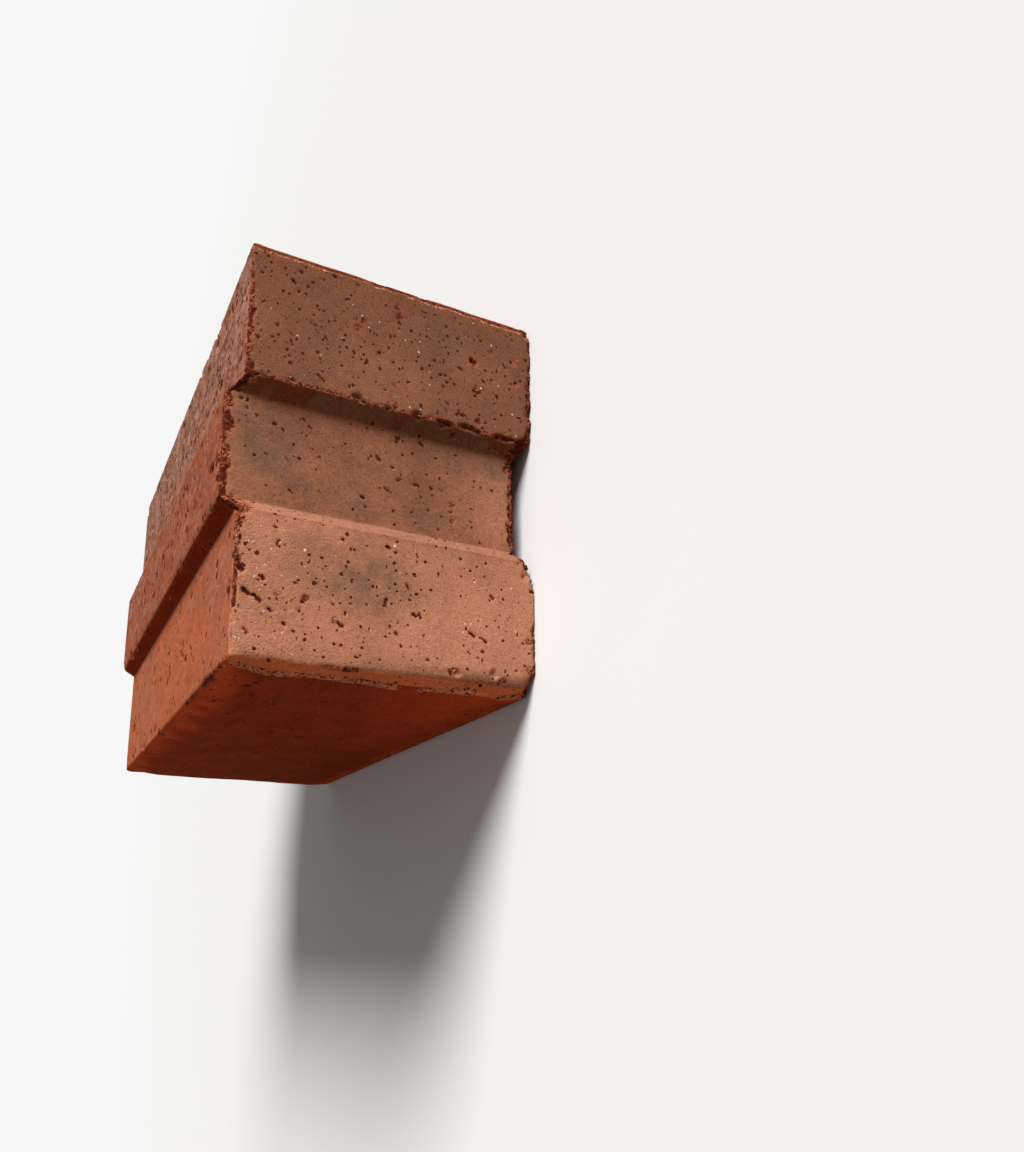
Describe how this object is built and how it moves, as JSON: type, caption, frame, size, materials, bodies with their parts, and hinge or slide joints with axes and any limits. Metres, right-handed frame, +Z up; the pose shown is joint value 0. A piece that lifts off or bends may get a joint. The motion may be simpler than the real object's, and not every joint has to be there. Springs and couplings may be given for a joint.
{
  "type": "interlocking mud brick",
  "caption": "Red-brown interlocking mud brick with a leaning-sided tongue along its upper bed and down one end, and matching grooves opposite.",
  "frame": {"origin": "under the middle of the overall length and width, on the plane of the lower bed's bearing bands, which the brick rests on", "axes": "+Z up out of the tongued bed, +X along the length towards the grooved end, +Y across the width towards one outer face"},
  "size_m": [0.3116, 0.196, 0.1465],
  "materials": {
    "fired_clay": "matte fired clay, fine-grained and pitted, with crumbly arrises and darker weathered outer faces"
  },
  "bodies": {
    "root": {"mud_brick": "fired_clay"}
  },
  "joints": []
}
